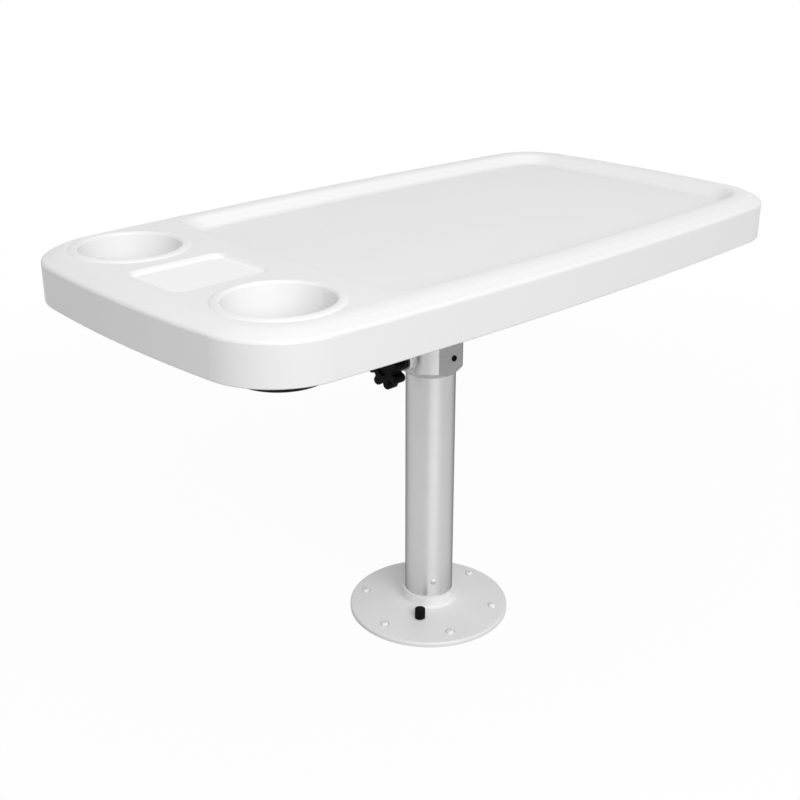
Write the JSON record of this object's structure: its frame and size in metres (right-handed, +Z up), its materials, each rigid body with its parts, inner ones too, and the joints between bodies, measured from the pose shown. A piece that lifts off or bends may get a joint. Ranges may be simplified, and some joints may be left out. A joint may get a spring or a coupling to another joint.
{
  "type": "single pole camper table",
  "caption": "Camper table: moulded white top with a raised rim and cup wells, turning on a telescoping pole with a clamp knob and a round floor base.",
  "frame": {"origin": "on the floor at the pole's axis, under the middle of the top", "axes": "+Z up the pole, +X along the length of the top away from the cup wells"},
  "size_m": [0.8229, 0.4428, 0.5114],
  "materials": {
    "white_moulding": "gloss white moulding with a satin field",
    "black_moulding": "fine grained black moulding",
    "base_paint": "light grey powder coat on a casting",
    "tube_metal": "satin anodised tube",
    "collar_metal": "fine cast and brushed",
    "cast_metal": "as cast",
    "steel": "zinc plated",
    "black_plastic": "satin black moulding",
    "nylon": "natural nylon",
    "rubber": "matt rubber"
  },
  "bodies": {
    "pedestal": {"base_flange": "base_paint", "latch_keeper": "steel", "keeper_screws": "steel", "latch_spring": "steel", "outer_tube": "tube_metal", "stop_plug": "nylon", "plug_screws": "steel", "stop_buffer": "rubber", "clamp_collar": "collar_metal", "collar_screws": "steel", "guide_bush": "nylon", "clamp_pad": "nylon"},
    "latch": {"latch_bolt": "steel", "latch_button": "black_plastic"},
    "riser": {"inner_tube": "tube_metal", "top_plug": "nylon", "top_plug_screws": "steel", "foot_bush": "nylon", "thrust_washer": "nylon", "pivot_bolt": "steel", "pivot_washer": "steel"},
    "table": {"mount_plate": "cast_metal", "mount_bush": "nylon", "mount_screws": "steel", "bottom_pan": "black_moulding", "pan_screws": "steel", "top_shell": "white_moulding"},
    "knob": {"clamp_stud": "steel", "knob_head": "black_plastic"}
  },
  "joints": [
    {"name": "riser_slide", "type": "slide", "parent": "pedestal", "child": "riser", "axis": [0, 0, 1], "range_m": [0, 0.2]},
    {"name": "table_swivel", "type": "hinge", "parent": "riser", "child": "table", "pos_m": [0, 0, 0.45], "axis": [0, 0, 1], "continuous": true},
    {"name": "knob_turn", "type": "hinge", "parent": "pedestal", "child": "knob", "pos_m": [-0.063, 0, 0.346], "axis": [-1, 0, 0], "range_deg": [0, 360]},
    {"name": "latch_slide", "type": "slide", "parent": "pedestal", "child": "latch", "axis": [-0.829, -0.5592, 0], "range_m": [0, 0.006], "stiffness_N_per_m": 600, "springref_m": -0.004, "deforming": ["latch_spring"]}
  ]
}
